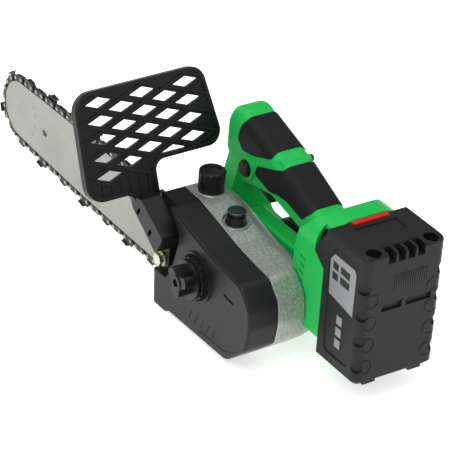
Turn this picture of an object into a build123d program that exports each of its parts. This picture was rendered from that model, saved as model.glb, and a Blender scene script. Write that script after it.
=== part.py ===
from build123d import *
import math
import os

# Cordless chainsaw: every piece is modelled in one frame, in millimetres.
# X runs forward along the guide bar, Y to the left (the chain side), Z up.
# X = 0 is the back of the battery, Y = 0 the middle of the handle and Z = 0 the underside of the
# battery, until the whole saw is set down with the middle of its base at the origin.

# ---- driving dimensions -------------------------------------------------------------------
wall = 3.0                  # plastic and cast walls
gap = 0.4                   # between pieces that move past each other
running_fit = 0.05          # radial clearance of a shaft in its bearing
pin_fit = 0.08              # radial clearance of a rivet or screw in its hole

# battery
battery_length = 52.0       # front to back, without the tower
battery_width = 77.0
battery_height = 116.0
battery_corner = 8.0
tower_depth = 12.0           # the tower in front of the battery
tower_width = 50.0
tower_low = 25.0
tower_high = 90.0
ear_reach = 13.0            # how far the battery's side ears reach forward

# rear box of the housing
box_length = 40.0
box_floor = 14.0            # height of its underside
box_shoulder = 26.0         # radius of its arched top

# handle
handle_width = 34.0
handle_rounding = 9.0
pad_thickness = 2.6
pad_proud = 0.6
post_front = 221.0
opening_front = 204.0       # front of the finger opening
opening_back = 104.0
opening_floor = 40.0

# motor, gears and their shafts, all on one line
axis_height = 31.0
spindle_x = 98.0
gear_module = 1.0
output_teeth = 36
second_pinion_teeth = 14
first_gear_teeth = 44
motor_pinion_teeth = 12
gear_width = 7.0
pressure_angle = 25.0
tooth_addendum = 0.8
tooth_backlash = 0.16
motor_radius = 23.0
motor_cover_radius = 27.5
motor_shaft_radius = 3.0
idler_shaft_radius = 4.0
spindle_radius = 6.0

# gear case, from its right face to the face under the sprocket cover
case_right = 20.0
case_left = 64.0
case_rounding = 17.0
case_flange = 40.0          # Y where the rounded right part meets the flanged left part
case_wall = 4.0
plate_thickness = 4.0
web_right = 40.0            # wall between the two gear stages
web_thickness = 4.0

# guide bar and chain
bar_plane = 75.0            # Y of the middle of the bar
bar_thickness = 4.2
bar_groove = 1.7
bar_groove_depth = 7.0
bar_tip = 484.5
bar_half_width = 29.6       # at its widest place
bar_widest_x = 300.0
bar_tail_x = 124.0
rivet_height = 3.2          # of the rivets above the bar's edge
nose_radius = 29.2          # of the rivet line round the nose
shoulder_radius = 60.0      # of the rivet line at the bar's shoulder
shoulder_x = 175.0
sprocket_radius = 17.8      # of the rivet line round the drive sprocket
drive_pitch = 9.1           # aimed rivet spacing: the count of links follows from it
link_thickness = 1.3
drive_link_thickness = 1.4
rivet_radius = 1.7
cutter_height = 6.5

# sprocket cover
cover_face = 92.0           # Y of its outer face
cover_wall = 2.6
recess_face = 84.6          # Y of the recess that the guard's stem lies in
knob_x = 146.0
knob_z = 36.0
dial_radius = 18.6
knob_disc_radius = 16.6

# hand guard
guard_lean = 22.0           # degrees forward from upright
guard_base_x = 223.5
guard_base_z = 72.0
guard_thickness = 3.6
guard_rim = 3.2
stem_right = 86.4
stem_width = 18.6
stem_depth = 19.0
guard_pivot_x = 197.0
guard_pivot_z = 25.5

# oil cap and the gear case's press button
oil_cap_x = 198.0
oil_cap_y = 47.5
oil_cap_radius = 11.6
oil_cap_height = 18.0
oil_neck_radius = 6.6
press_x = 156.5
press_y = 50.0
press_radius = 7.8

# lock-off button and trigger
lock_x = 192.5
lock_z = 93.0
lock_radius = 7.0
trigger_width = 15.0
trigger_pivot_x = 200.0
trigger_pivot_z = 93.0

case_roof = 78.0            # top of the gear case at its front


# ---- small helpers ------------------------------------------------------------------------
def outline(*corners):
    """A closed side view from (x, z, corner radius) points."""
    face = Polygon(*[(x, z) for x, z, _ in corners], align=None)
    for x, z, radius in corners:
        if radius:
            corner = face.vertices().sort_by_distance((x, z, 0))[0]
            face = fillet(corner, radius)
    return face


def slab(sketch, low, high):
    """A side view made solid from Y = low to Y = high."""
    return extrude(Plane.XZ.offset(-high) * sketch, high - low, dir=(0, -1, 0))


def block(x, y, z):
    """A box from its low and high places along each axis."""
    size = [span[1] - span[0] for span in (x, y, z)]
    return Pos((x[0] + x[1]) / 2, (y[0] + y[1]) / 2, (z[0] + z[1]) / 2) * Box(*size)


def disc(x, z, radius, low, high):
    """A round solid about a line along Y."""
    return slab(Pos(x, z) * Circle(radius), low, high)


def upright(x, y, radius, low, high):
    """A round solid about a vertical line."""
    return Pos(x, y, (low + high) / 2) * Cylinder(radius, high - low)


def lengthwise(y, z, radius, low, high):
    """A round solid about a line along X."""
    return Pos((low + high) / 2, y, z) * Rot(0, 90, 0) * Cylinder(radius, high - low)


def ring(x, z, outer, inner, low, high):
    return disc(x, z, outer, low, high) - disc(x, z, inner, low - 1, high + 1)


def group(solids):
    return Compound(children=list(solids))


def mirrored(solid):
    return mirror(solid, about=Plane.XZ)


def spur_gear(x, z, teeth, low, high, turn, bore):
    """An involute gear about a line along Y; turn is the direction of one tooth, in degrees."""
    pitch_radius = gear_module * teeth / 2
    base_radius = pitch_radius * math.cos(math.radians(pressure_angle))
    tip_radius = pitch_radius + tooth_addendum * gear_module
    root_radius = pitch_radius - (tooth_addendum + 0.25) * gear_module
    half_tooth = (math.pi * gear_module / 2 - tooth_backlash) / 2 / pitch_radius

    def involute(radius):
        lean = math.sqrt(max((radius / base_radius) ** 2 - 1, 0))
        return lean - math.atan(lean)

    flank_angle = half_tooth + involute(pitch_radius)
    start = max(base_radius, root_radius)
    steps = [start + (tip_radius - start) * i / 4 for i in range(5)]
    points = []
    for tooth in range(teeth):
        middle = math.radians(turn) + 2 * math.pi * tooth / teeth
        flank = [(root_radius, flank_angle)] if root_radius < base_radius else []
        flank += [(r, flank_angle - involute(r)) for r in steps]
        for r, a in flank:
            points.append((r * math.cos(middle - a), r * math.sin(middle - a)))
        for r, a in reversed(flank):
            points.append((r * math.cos(middle + a), r * math.sin(middle + a)))
    profile = Pos(x, z) * Polygon(*points, align=None)
    return slab(profile, low, high) - disc(x, z, bore, low - 1, high + 1)


def arc_edge(centre, radius, start, end):
    """Part of a circle, from one angle to another in degrees."""
    at = [
        (centre[0] + radius * math.cos(math.radians(a)), centre[1] + radius * math.sin(math.radians(a)))
        for a in (start, (start + end) / 2, end)
    ]
    return ThreePointArc(*at)


# ---- guide bar and chain line --------------------------------------------------------------
belly_height = bar_half_width + rivet_height
nose_x = bar_tip + rivet_height - nose_radius
nose_run = nose_x - bar_widest_x
belly_radius = (nose_run ** 2 + belly_height ** 2 - nose_radius ** 2) / 2 / (belly_height - nose_radius)
belly_centre = (bar_widest_x, belly_height - belly_radius)
shoulder_drop = math.sqrt((belly_radius - shoulder_radius) ** 2 - (shoulder_x - bar_widest_x) ** 2)
shoulder_centre = (shoulder_x, belly_centre[1] + shoulder_drop)
tail_step = (shoulder_centre[0] - spindle_x, shoulder_centre[1])
tail_angle = math.degrees(
    math.atan2(tail_step[1], tail_step[0])
    + math.acos((sprocket_radius - shoulder_radius) / math.hypot(*tail_step))
)
shoulder_angle = math.degrees(
    math.atan2(shoulder_centre[1] - belly_centre[1], shoulder_centre[0] - belly_centre[0])
)
nose_angle = math.degrees(math.atan2(-belly_centre[1], nose_run))


def round_place(centre, radius, angle):
    return (centre[0] + radius * math.cos(math.radians(angle)), centre[1] + radius * math.sin(math.radians(angle)))


def upper_chain_line(inset=0.0):
    """Arcs of the rivet line above the bar's middle, as (centre, radius, start, end)."""
    return [
        ((spindle_x, 0.0), sprocket_radius - inset, 180.0, tail_angle),
        (shoulder_centre, shoulder_radius - inset, tail_angle, shoulder_angle),
        (belly_centre, belly_radius - inset, shoulder_angle, nose_angle),
        ((nose_x, 0.0), nose_radius - inset, nose_angle, 0.0),
    ]


def chain_pieces():
    """Straight and round pieces of the whole rivet line, each as (length, place function)."""
    upper = []
    last = None
    for centre, radius, start, end in upper_chain_line():
        first = round_place(centre, radius, start)
        if last is not None and math.dist(last, first) > 0.01:
            upper.append(("line", last, first))
        upper.append(("arc", centre, radius, start, end))
        last = round_place(centre, radius, end)
    lower = []
    for piece in reversed(upper):
        if piece[0] == "line":
            lower.append(("line", (piece[2][0], -piece[2][1]), (piece[1][0], -piece[1][1])))
        else:
            lower.append(("arc", (piece[1][0], -piece[1][1]), piece[2], -piece[4], -piece[3]))
    return upper + lower


def chain_points(pitch):
    """Places of the rivets, evenly spaced along the rivet line, in whole groups of four."""
    pieces = chain_pieces()
    lengths = [
        math.dist(p[1], p[2]) if p[0] == "line" else p[2] * abs(math.radians(p[4] - p[3])) for p in pieces
    ]
    count = 4 * round(sum(lengths) / (4 * pitch))
    step = sum(lengths) / count
    places = []
    for i in range(count):
        along = i * step
        for piece, length in zip(pieces, lengths):
            if along <= length:
                break
            along -= length
        share = along / length
        if piece[0] == "line":
            spot = tuple(a + (b - a) * share for a, b in zip(piece[1], piece[2]))
        else:
            spot = round_place(piece[1], piece[2], piece[3] + (piece[4] - piece[3]) * share)
        places.append(spot)
    return places, step


rivet_places, link_pitch = chain_points(drive_pitch)
link_count = len(rivet_places)


def on_links(shape, first, stride):
    """Copies of a link drawn at the origin, along +X with the outside of the chain at +Z."""
    copies = []
    for i in range(first, link_count, stride):
        a = rivet_places[i]
        b = rivet_places[(i + 1) % link_count]
        tilt = math.degrees(math.atan2(b[1] - a[1], b[0] - a[0]))
        middle = Pos((a[0] + b[0]) / 2, bar_plane, axis_height + (a[1] + b[1]) / 2)
        copies.append(middle * Rot(0, -tilt, 0) * shape)
    return copies


def link_plate(thickness, tall, low):
    """A plain link with rounded ends."""
    profile = Pos(0, (tall + low) / 2) * RectangleRounded(link_pitch + 5.6, tall - low, 2.2)
    return slab(profile, -thickness / 2, thickness / 2)


def with_rivet_holes(link):
    for x in (-link_pitch / 2, link_pitch / 2):
        link -= disc(x, 0, rivet_radius + pin_fit, -6, 6)
    return link


def make_chain():
    half = link_pitch / 2
    side_offset = (drive_link_thickness + link_thickness) / 2 + 0.02
    tang = slab(
        outline((-half + 0.6, -1, 0), (half - 0.6, -1, 0), (2.4, -5.4, 1.0), (-1.2, -5.4, 0.6)),
        -drive_link_thickness / 2, drive_link_thickness / 2,
    )
    drive = with_rivet_holes(link_plate(drive_link_thickness, 2.6, -2.4) + tang)
    strap = with_rivet_holes(link_plate(link_thickness, 2.5, -2.5))
    straps = Pos(0, side_offset, 0) * strap + Pos(0, -side_offset, 0) * strap

    # a cutter is a side link with a depth gauge in front and a tooth that folds over the top
    body = slab(
        outline((-half - 2.2, 1, 0), (half + 2.2, 1, 0), (half + 2.0, 4.6, 0.8), (half - 1.6, 4.8, 0.6),
                (1.0, 2.2, 0.8), (0.2, 5.6, 0.4), (-half - 2.8, 4.8, 0.4)),
        -link_thickness / 2, link_thickness / 2,
    )
    top_plate = slab(
        outline((0.6, cutter_height, 0), (0.4, cutter_height - 1.1, 0), (-half - 2.9, 4.2, 0),
                (-half - 2.9, 5.2, 0)),
        -1.0, 3.4,
    )
    left_cutter = Pos(0, side_offset, 0) * (strap + body) + Pos(0, 0.2, 0) * top_plate
    left_cutter -= block((-20, 20), (-1, drive_link_thickness / 2 + 0.02), (-3, 3.6))
    left_cutter = with_rivet_holes(left_cutter)
    right_cutter = mirrored(left_cutter)

    drives = on_links(drive, 0, 2)
    tie_pairs = on_links(straps, 3, 4)
    far_straps = on_links(Pos(0, -side_offset, 0) * strap, 1, 8)
    far_straps += on_links(Pos(0, side_offset, 0) * strap, 5, 8)
    cutters = on_links(left_cutter, 1, 8) + on_links(right_cutter, 5, 8)
    rivet = disc(0, 0, rivet_radius, -side_offset - link_thickness / 2 - 0.5,
                 side_offset + link_thickness / 2 + 0.5)
    rivets = [Pos(x, bar_plane, axis_height + z) * rivet for x, z in rivet_places]
    ties = [solid for pair in tie_pairs for solid in pair.solids()] + far_straps
    return drives, ties, cutters, rivets


def bar_face(inset=0.0):
    """Side view of the guide bar, about its own middle line."""
    arcs = upper_chain_line(rivet_height + inset)[1:]
    tail_half = round_place((spindle_x, 0.0), sprocket_radius, tail_angle)[1] - inset
    tail = bar_tail_x + inset
    edges = []
    first = round_place(arcs[0][0], arcs[0][1], arcs[0][2])
    edges.append(Line((tail, tail_half), first))
    for centre, radius, start, end in arcs:
        edges.append(arc_edge(centre, radius, start, end))
    for centre, radius, start, end in reversed(arcs):
        edges.append(arc_edge((centre[0], -centre[1]), radius, -end, -start))
    edges.append(Line((first[0], -first[1]), (tail, -tail_half)))
    edges.append(Line((tail, -tail_half), (tail, tail_half)))
    return make_face(Wire(edges))


def stadium(x, z, length, radius):
    return Pos(x, z) * SlotOverall(length, 2 * radius)


def make_bar():
    low = bar_plane - bar_thickness / 2
    high = bar_plane + bar_thickness / 2
    lift = Pos(0, axis_height)
    bar = slab(lift * bar_face(), low, high)
    groove_low = bar_plane - bar_groove / 2
    groove = slab(lift * bar_face(), groove_low, groove_low + bar_groove)
    groove -= slab(lift * bar_face(bar_groove_depth), groove_low - 1, groove_low + bar_groove + 1)
    bar -= groove
    bar -= disc(nose_x, axis_height, nose_pocket_radius, groove_low, groove_low + bar_groove)
    bar -= slab(stadium(stud_x, axis_height, stud_slot, stud_radius + 0.3), low - 1, high + 1)
    bar -= slab(stadium(bar_window_x, axis_height - 2, 8, 2.8), low - 1, high + 1)
    bar -= disc(tension_pin_x, tension_pin_z, tension_pin_radius + 0.2, low - 1, high + 1)
    for x, z in bar_rivet_places():
        bar -= disc(x, z, bar_rivet_radius + 0.02, low - 1, high + 1)
    bar -= disc(nose_x, axis_height, nose_hub_radius + 0.02, low - 1, high + 1)
    return bar


nose_pocket_radius = nose_radius - 6.4
nose_hub_radius = 5.0
stud_x = 150.0
stud_slot = 34.0
stud_radius = 4.0
bar_window_x = 415.0
tension_pin_x = 138.0
tension_pin_z = axis_height - 15.0
tension_pin_radius = 3.0
bar_rivet_radius = 1.6


def bar_rivet_places():
    """Rivets that hold the bar's side plates together behind the nose sprocket."""
    spread = nose_pocket_radius + 3.5
    return [
        (nose_x + spread * math.cos(math.radians(a)), axis_height + spread * math.sin(math.radians(a)))
        for a in (150, 168, 192, 210)
    ]


def make_nose_sprocket():
    teeth = 10
    rim = nose_radius - 8.4
    points = []
    for i in range(teeth):
        for radius, share in ((rim - 3.2, -0.34), (rim, -0.12), (rim, 0.12), (rim - 3.2, 0.34)):
            angle = 2 * math.pi * (i + share) / teeth
            points.append((nose_x + radius * math.cos(angle), axis_height + radius * math.sin(angle)))
    star = slab(Polygon(*points, align=None), bar_plane - 0.6, bar_plane + 0.6)
    star -= disc(nose_x, axis_height, nose_hub_radius + running_fit, 0, 200)
    hub = disc(nose_x, axis_height, nose_hub_radius, bar_plane - bar_thickness / 2, bar_plane + bar_thickness / 2)
    return star, hub


def make_bar_rivets():
    half = bar_thickness / 2 + 0.15
    return [disc(x, z, bar_rivet_radius, bar_plane - half, bar_plane + half) for x, z in bar_rivet_places()]


# ---- gear case ------------------------------------------------------------------------------
def case_outline(grow=0.0):
    """Side view shared by the gear case and the sprocket cover."""
    g = grow
    return outline(
        (214 + g, case_roof + g, 2.5), (188, case_roof - 1 + g, 16), (160, 71.2 + g, 16), (134, 65.2 + g, 16),
        (108, 61.8 + g, 20), (85.5 - g, 60 + g, 12), (71.5 - g, 45.5, 14), (69.5 - g, 28, 14),
        (73 - g, 7 - g, 12), (99, -16 - g, 12), (184, -18.5 - g, 2), (190, -22 - g, 2), (207 + g, -22 - g, 2.5),
    )


def case_solid(low, high):
    return slab(case_outline(), low, high)


def top_height(x):
    """Height of the gear case's top above a place along the saw."""
    stretch = [(88, 57), (108, 61.5), (134, 63.5), (160, 69), (188, case_roof - 1), (214, case_roof)]
    for (x0, z0), (x1, z1) in zip(stretch, stretch[1:]):
        if x <= x1:
            return z0 + (z1 - z0) * (x - x0) / (x1 - x0)
    return stretch[-1][1]


press_seat = top_height(press_x) + 1.5
idler_x = spindle_x + gear_module * (output_teeth + second_pinion_teeth) / 2
motor_x = idler_x + gear_module * (first_gear_teeth + motor_pinion_teeth) / 2
stage_two = (50.0, 50.0 + gear_width)
stage_one = (29.0, 29.0 + gear_width)
bearing_outer = {"motor": 8.0, "idler": 9.0, "spindle": 14.0}
oil_tank_back = 172.0


def case_right_part():
    """The gear case's right part, well rounded towards the handle."""
    part = slab(
        outline((213.6, case_roof - 1, 19), (182, case_roof - 4, 30), (134, 63, 30), (88, 57, 20), (69.8, 28, 20),
                (74, 6, 19), (99, -16, 19), (208, -17, 19)),
        case_right, case_flange)
    rim = part.edges().filter_by_position(Axis.Y, case_right - 0.01, case_right + 0.01)
    return fillet(rim, case_rounding)


def make_gear_case():
    body = case_right_part() + case_solid(case_flange - 0.5, case_left)
    # pads that the oil cap and the press button stand on
    body += upright(oil_cap_x, oil_cap_y, oil_cap_radius, 55, case_roof)
    body += upright(press_x, press_y, press_radius + 3.5, 50, press_seat)
    body -= upright(press_x, press_y, press_radius + 3.5, press_seat, press_seat + 20)
    # gears behind, oil tank in front
    gears_room = slab(
        outline((165, 58, 4), (134, 59, 8), (108, 57, 12), (90, 52, 10), (79, 40, 10), (74.5, 27, 10),
                (78, 9, 8), (101, -11, 8), (165, -13, 4)),
        case_right + case_wall, case_left - plate_thickness)
    tank_room = slab(
        outline((oil_tank_back, 60, 4), (oil_tank_back, -13, 4), (209, -16, 4), (209, 70, 4)),
        case_right + case_wall + 4, case_left - plate_thickness)
    body -= gears_room + tank_room
    web = slab(Pos(116, axis_height) * Rectangle(98, 84), web_right, web_right + web_thickness) & gears_room
    body += web
    # the plate's seat in the open left side
    seat = slab(plate_outline(), case_left - plate_thickness, case_left + 1)
    body -= seat
    # bearing seats
    body += ring(spindle_x, axis_height, bearing_outer["spindle"] + 3, bearing_outer["spindle"],
                 web_right, web_right + web_thickness + 3)
    body -= disc(spindle_x, axis_height, bearing_outer["spindle"], web_right + 1, web_right + web_thickness + 4)
    body -= disc(spindle_x, axis_height, spindle_radius + 1.5, web_right - 1, web_right + 2)
    body -= disc(idler_x, axis_height, bearing_outer["idler"] + 1, web_right - 1, web_right + web_thickness + 1)
    body -= disc(idler_x, axis_height, bearing_outer["idler"], case_right + 1.5, case_right + case_wall + 1)
    body += ring(motor_x, axis_height, bearing_outer["motor"] + 3, bearing_outer["motor"],
                 case_right + 1, case_right + case_wall + 3)
    body -= disc(motor_x, axis_height, bearing_outer["motor"], case_right - 1, case_right + case_wall + 4)
    # filler neck, button bore, screws and the guard's bolt
    body -= upright(oil_cap_x, oil_cap_y, oil_neck_radius + 2.5, 50, case_roof + 5)
    body -= upright(press_x, press_y, press_stem_radius + 0.3, 30, case_roof + 5)
    for x, z in case_screw_places():
        body += ring(x, z, 5.0, case_screw_radius + pin_fit, case_screw_head, case_left - plate_thickness)
        body -= disc(x, z, case_screw_radius + pin_fit, case_right - 5, case_left + 5)
        body -= disc(x, z, 4.4, case_right - 5, case_screw_head)
    for x, z in stud_places():
        body -= disc(x, z, stud_radius + pin_fit, case_left - plate_thickness - 6, case_left + 1)
    return body


def plate_outline():
    return outline(
        (206, 70, 4), (188, 70, 10), (160, 62, 12), (134, 59.5, 12), (108, 57.5, 14), (90, 53, 10),
        (78, 40, 10), (73.6, 27, 10), (77, 9, 8), (101, -12, 8), (206, -16, 4),
    )


case_screw_radius = 2.0
case_screw_head = 27.0


def case_screw_places():
    return [(84.5, 5.0), (164.0, 43.0), (160.5, -8.0)]


def stud_places():
    return [(stud_x - 9.0, axis_height), (stud_x + 9.0, axis_height)]


def make_case_plate():
    plate = slab(plate_outline(), case_left - plate_thickness, case_left)
    bar_pad = slab(
        outline((126, axis_height + 12, 4), (126, axis_height - 12, 4), (206, axis_height - 20, 4),
                (206, axis_height + 20, 4)),
        case_left - 0.5, bar_plane - bar_thickness / 2)
    plate += bar_pad
    plate -= disc(spindle_x, axis_height, bearing_outer["spindle"], 50, 90)
    plate += ring(spindle_x, axis_height, bearing_outer["spindle"] + 3, bearing_outer["spindle"],
                  case_left - plate_thickness, case_left + 4)
    plate -= disc(idler_x, axis_height, idler_shaft_radius + running_fit, 50, case_left - 1)
    for x, z in case_screw_places():
        plate -= disc(x, z, case_screw_radius + pin_fit, 50, 90)
    for x, z in stud_places():
        plate -= disc(x, z, stud_radius + pin_fit, 50, 90)
    plate -= disc(tension_pin_x, tension_pin_z, tension_pin_radius + 0.1, case_left - 1, 90)
    return plate


def make_case_screws():
    screws = []
    for x, z in case_screw_places():
        screw = disc(x, z, case_screw_radius, case_screw_head, case_left - 1)
        head = disc(x, z, 4.0, case_screw_head - 4, case_screw_head)
        socket = slab(Pos(x, z) * RegularPolygon(1.6, 6), case_screw_head - 5, case_screw_head - 1.5)
        screws.append(screw + head - socket)
    return screws


def make_studs():
    return [disc(x, z, stud_radius, case_left - plate_thickness - 5, stud_end) for x, z in stud_places()]


stud_end = 88.0


def make_drive():
    """Motor, gears, spindle and their bearings."""
    pieces = {}
    spindle = disc(spindle_x, axis_height, spindle_radius, web_right + 1.5, 86)
    spindle += disc(spindle_x, axis_height, spindle_radius + 1.2, stage_two[1], case_left - plate_thickness - 0.5)
    pieces["output_spindle"] = spindle
    pieces["output_gear"] = spur_gear(spindle_x, axis_height, output_teeth, *stage_two, 0, spindle_radius)
    idler = disc(idler_x, axis_height, idler_shaft_radius, case_right + 1.8, case_left - 1.2)
    pieces["intermediate_shaft"] = idler
    pieces["second_stage_pinion"] = spur_gear(
        idler_x, axis_height, second_pinion_teeth, *stage_two, 180 / second_pinion_teeth, idler_shaft_radius)
    pieces["first_stage_gear"] = spur_gear(
        idler_x, axis_height, first_gear_teeth, *stage_one, 0, idler_shaft_radius)
    pieces["motor_pinion"] = spur_gear(
        motor_x, axis_height, motor_pinion_teeth, *stage_one, 180 / motor_pinion_teeth, motor_shaft_radius)
    shaft = disc(motor_x, axis_height, motor_shaft_radius, motor_back + 3, stage_one[1] + 1)
    magnets = ring(motor_x, axis_height, 11.5, motor_shaft_radius, motor_back + 14, motor_front - 6)
    pieces["motor_rotor"] = shaft + magnets
    hub = ring(motor_x, axis_height, 6.0, motor_shaft_radius, motor_back + 8.6, motor_back + 13)
    blades = [
        Pos(motor_x, 0, axis_height) * Rot(0, 360 / 9 * i, 0)
        * Pos(-motor_x, 0, -axis_height)
        * slab(Pos(motor_x + 12, axis_height) * Rotation(0, 0, 25) * Rectangle(15, 1.6),
               motor_back + 8.6, motor_back + 13)
        for i in range(9)
    ]
    fan = hub
    for blade in blades:
        fan += blade
    pieces["cooling_fan"] = fan - disc(motor_x, axis_height, motor_shaft_radius, -60, 60)
    stator = ring(motor_x, axis_height, motor_radius, 17.5, motor_back + 14, motor_front - 5)
    for i in range(6):
        tooth = slab(Pos(motor_x + 15, axis_height) * Rectangle(6.4, 7.5), motor_back + 16, motor_front - 7)
        stator += Pos(motor_x, 0, axis_height) * Rot(0, 60 * i, 0) * Pos(-motor_x, 0, -axis_height) * tooth
    pieces["motor_stator"] = stator
    pieces["motor_bearings"] = group([
        bearing(motor_x, bearing_outer["motor"], motor_shaft_radius, case_right + 1, case_right + 6),
        bearing(motor_x, bearing_outer["motor"], motor_shaft_radius, motor_back + 3.2, motor_back + 7.6),
    ])
    pieces["gear_bearings"] = group([
        bearing(spindle_x, bearing_outer["spindle"], spindle_radius, web_right + 1.7, web_right + 7),
        bearing(spindle_x, bearing_outer["spindle"], spindle_radius, case_left - 3.5, case_left + 3.5),
        bearing(idler_x, bearing_outer["idler"], idler_shaft_radius, case_right + 1.8, case_right + 5.6),
    ])
    return pieces


def bearing(x, outer, inner, low, high):
    """A ball bearing as one ring with a groove on each face."""
    race = ring(x, axis_height, outer, inner + running_fit, low, high)
    middle = (outer + inner) / 2
    for face in ((low - 1, low + 0.5), (high - 0.5, high + 1)):
        race -= ring(x, axis_height, middle + 1.2, middle - 1.2, *face)
    return race


motor_front = case_right
motor_back = -44.0


def make_sprocket():
    teeth = 6
    tip = 11.6
    points = []
    for i in range(teeth):
        for radius, share in ((8.6, -0.3), (tip, -0.14), (tip, 0.14), (8.6, 0.3)):
            angle = 2 * math.pi * (i + share) / teeth
            points.append((spindle_x + radius * math.cos(angle), axis_height + radius * math.sin(angle)))
    star = slab(Polygon(*points, align=None), bar_plane - 4, bar_plane + 4)
    star += disc(spindle_x, axis_height, 9.0, bar_plane - 6.5, bar_plane - 4)
    sprocket = star - disc(spindle_x, axis_height, spindle_radius, 0, 200)
    washer = ring(spindle_x, axis_height, 9.5, spindle_radius, bar_plane + 4.1, bar_plane + 5.6)
    clip = ring(spindle_x, axis_height, 8.0, spindle_radius, bar_plane + 5.7, bar_plane + 6.9)
    clip -= block((spindle_x, spindle_x + 12), (0, 200), (axis_height - 4, axis_height + 4))
    return sprocket, washer, clip


# ---- sprocket cover, dial and knob ----------------------------------------------------------
def make_cover():
    outer = case_solid(case_left + 0.2, cover_face)
    # the outer face slopes towards the front and its edges are rounded
    slope = Pos(0, 0, 0) * make_slope()
    outer -= slope
    outer = fillet(outer.edges().filter_by_position(Axis.Y, cover_face - 0.01, cover_face + 0.01), 2.2)
    inner = slab(
        outline((220, 73.5, 0), (188, 73.5, 14), (160, 68.7, 14), (134, 62.6, 14), (108, 59, 18), (87, 57.3, 10),
                (74, 44, 12), (72.3, 28, 12), (76, 9, 10), (100, -13, 10), (186, -15.5, 2), (190, -19, 1),
                (220, -19, 0)),
        case_left - 1, cover_face - cover_wall)
    inner -= block((150, 230), (recess_face - cover_wall, 100), (recess_low - cover_wall, 90)) & make_recess(-cover_wall)
    outer -= inner
    recess = make_recess(0)
    outer -= recess
    # steps along the edge that meets the gear case
    for x_low, x_high, z_low, z_high in ((60, 78, -30, 44), (60, 128, 44, 90)):
        outer -= block((x_low, x_high), (0, case_left + 1.8), (z_low, z_high))
    # dial seat
    outer += ring(knob_x, knob_z, dial_radius + 3.0, dial_radius + 0.6, cover_face - cover_wall, cover_face + 1.6)
    outer -= disc(knob_x, knob_z, dial_radius + 0.6, cover_face - 1.2, cover_face + 8)
    outer -= disc(knob_x, knob_z, dial_hub_radius + 0.4, 60, 200)
    # guard bolt boss
    outer += ring(guard_pivot_x, guard_pivot_z, 7.0, guard_bolt_radius + pin_fit, recess_face - 5, recess_face)
    outer -= disc(guard_pivot_x, guard_pivot_z, guard_bolt_radius + pin_fit, 60, 200)
    outer -= slab(Pos(guard_pivot_x, guard_pivot_z) * RegularPolygon(5.4, 6), recess_face - 9, recess_face - 1.8)
    # slot and raised lines on the lower part of the outer face
    outer -= slab(Pos(100, 41) * Rotation(0, 0, 8) * SlotOverall(14, 2.2), cover_face - 1.2, cover_face + 2)
    return outer


recess_low = 10.0


def make_slope():
    """Wedge that tips the cover's outer face inwards towards the front."""
    depth = cover_face - recess_face + 4
    wedge = Polygon((150, cover_face + 0.6), (230, cover_face + 0.6), (230, cover_face - depth * 0.6), align=None)
    return extrude(Plane.XY.offset(-40) * wedge, 140)


def make_recess(shrink):
    """The shallow seat for the guard's stem in the cover's front."""
    s = shrink
    shape = outline(
        (230, 90, 0), (202 + s, 90, 0), (174.5 + s, 61, 3), (174.5 + s, 50, 6), (183 + s, 22, 8), (190, recess_low + s, 6),
        (230, recess_low + s, 0))
    return slab(shape, recess_face + s, cover_face + 20)


dial_hub_radius = 10.5
guard_bolt_radius = 3.0


def make_dial_and_knob():
    """Outer ring that tightens the chain, inner knob that clamps the bar."""
    face = cover_face - 1.0
    dial = ring(knob_x, knob_z, dial_radius, dial_hub_radius + gap, face, face + 7.5)
    for i in range(16):
        angle = 2 * math.pi * i / 16
        dial -= disc(knob_x + (dial_radius + 1.0) * math.cos(angle), knob_z + (dial_radius + 1.0) * math.sin(angle),
                     2.2, face + 2.5, face + 8)
    knob_base = face + 7.5 + gap
    knob = disc(knob_x, knob_z, knob_disc_radius, knob_base, knob_base + 2.5)
    lobes = Circle(6.6)
    for i in range(3):
        lobes += Rotation(0, 0, 120 * i + 35) * (Pos(7.4, 0) * RectangleRounded(12, 9.4, 3.4))
    knob += slab(Pos(knob_x, knob_z) * lobes, knob_base + 2.5, knob_base + 12)
    knob += disc(knob_x, knob_z, 6.0, knob_base + 12, knob_base + 13.0)
    knob += disc(knob_x, knob_z, dial_hub_radius - 0.4, face + 0.2, knob_base)
    knob -= disc(knob_x, knob_z, 3.4, knob_base + 8, knob_base + 20)
    knob -= disc(knob_x, knob_z, 1.9 + pin_fit, face - 10, knob_base + 20)
    screw = disc(knob_x, knob_z, 1.9, face + 1, knob_base + 8) + disc(knob_x, knob_z, 3.2, knob_base + 8, knob_base + 11)
    screw -= slab(Pos(knob_x, knob_z) * (Rectangle(4.4, 0.9) + Rectangle(0.9, 4.4)), knob_base + 9.6, knob_base + 12)
    return dial, knob, screw


# ---- hand guard ------------------------------------------------------------------------------
def guard_plane(back=0.0):
    """Plane of the guard's plate: local X is the saw's Y, local Y climbs the plate."""
    lean = math.radians(guard_lean)
    normal = (math.cos(lean), 0, -math.sin(lean))
    origin = (guard_base_x - back * normal[0], 0, guard_base_z - back * normal[2])
    return Plane(origin=origin, x_dir=(0, 1, 0), z_dir=normal)


def guard_shape():
    return outline(
        (81, -6, 0), (81.5, 25.5, 9), (14, 26, 13), (25.5, 93.5, 14), (146, 92.5, 17), (147, 3, 15),
        (105, 3, 7), (105, -6, 0),
    )


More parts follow.
